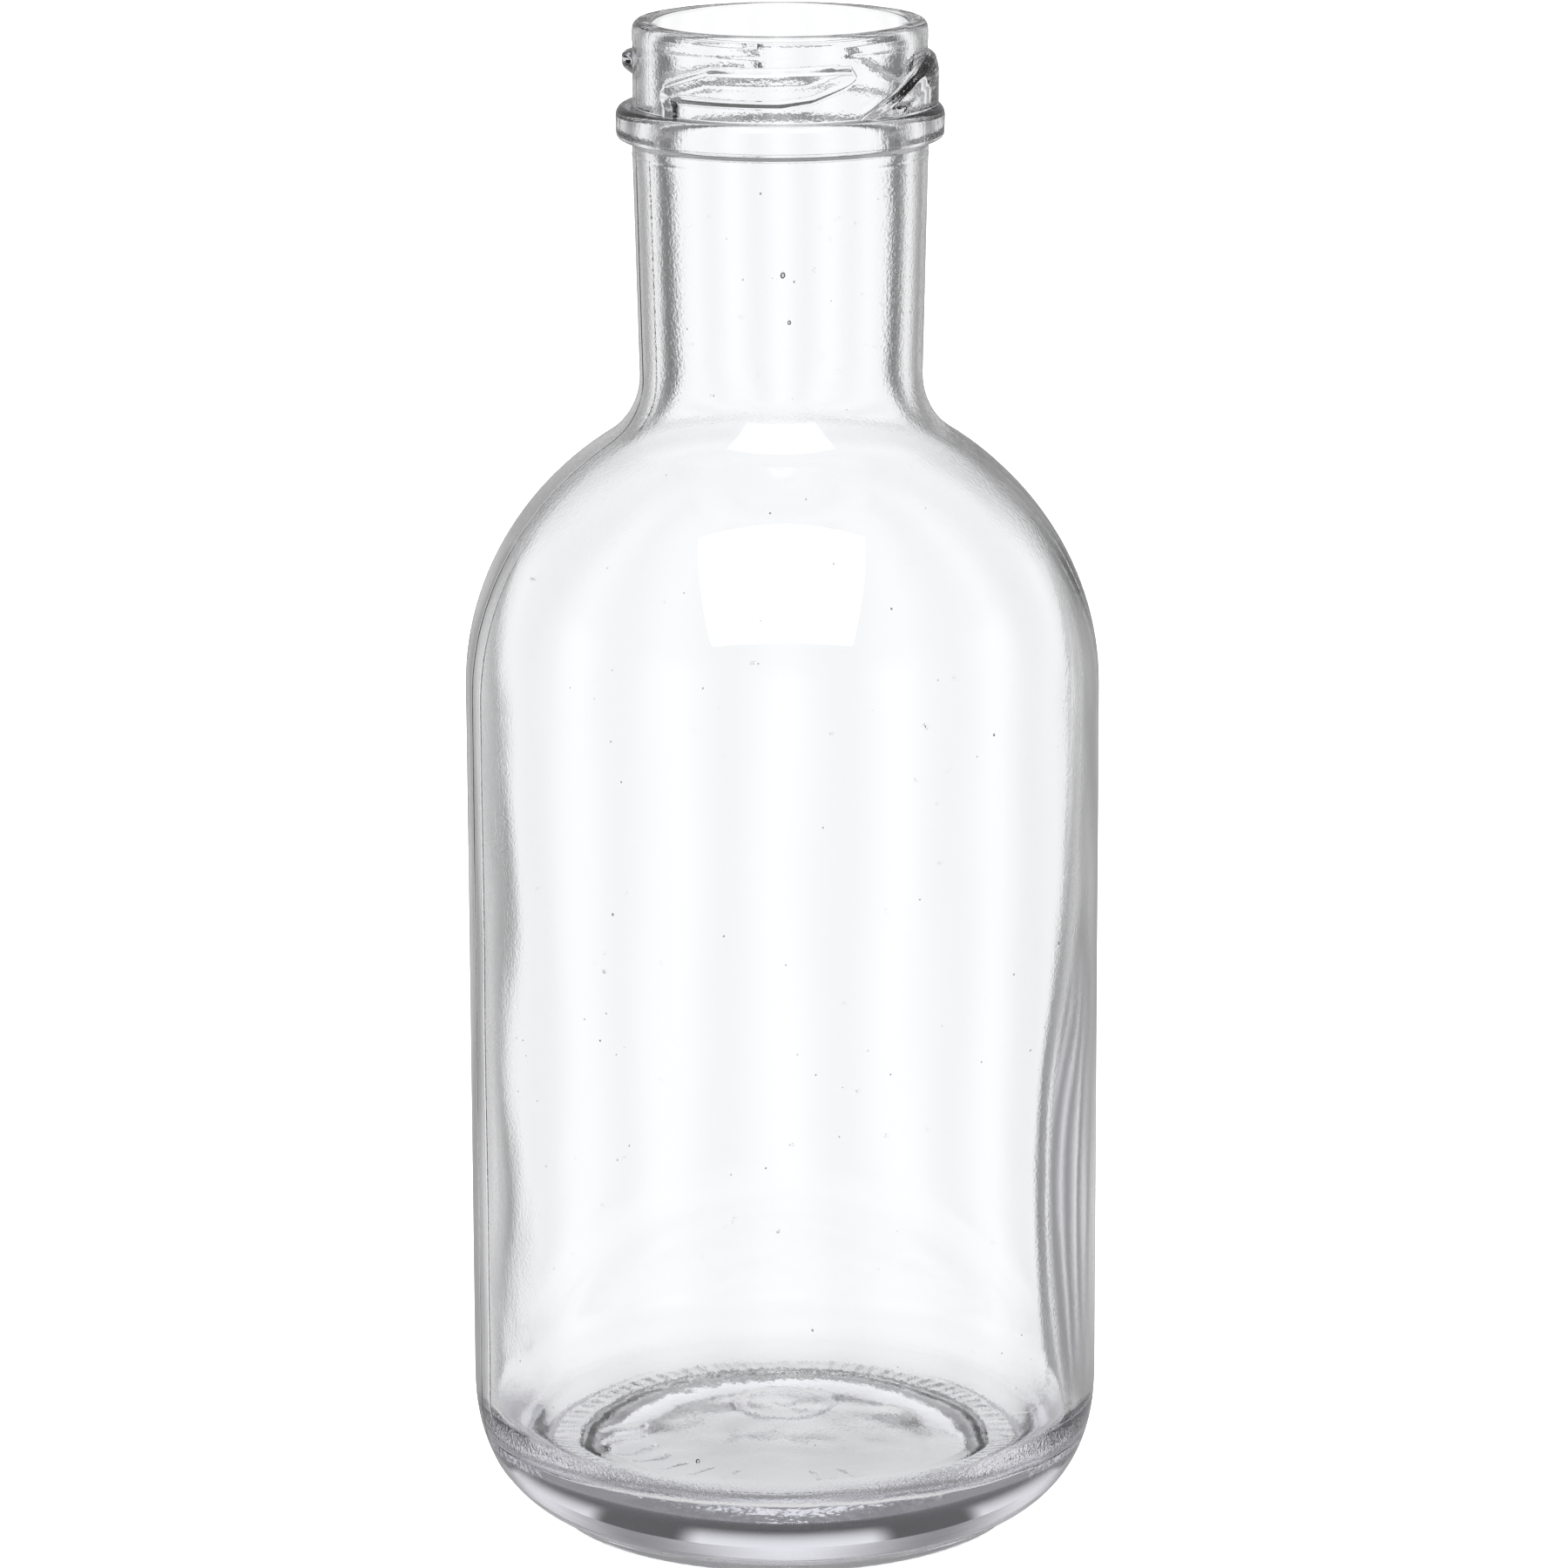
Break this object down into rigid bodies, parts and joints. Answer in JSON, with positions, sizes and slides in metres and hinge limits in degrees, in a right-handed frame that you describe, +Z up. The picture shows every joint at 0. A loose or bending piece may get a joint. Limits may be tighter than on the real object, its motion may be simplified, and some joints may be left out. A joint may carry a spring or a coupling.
{
  "type": "glass milk bottle",
  "caption": "Clear glass bottle with a straight round body, domed shoulder, short neck and open mouth with slanting lugs over a bead.",
  "frame": {"origin": "centre of the ring that the bottle stands on", "axes": "+Z up the bottle's axis to the mouth, -Y the front, which one lug faces"},
  "size_m": [0.076, 0.076, 0.1825],
  "materials": {
    "glass": "clear, fire polished, faint cool tint"
  },
  "bodies": {
    "root": {"bottle": "glass"}
  },
  "joints": []
}
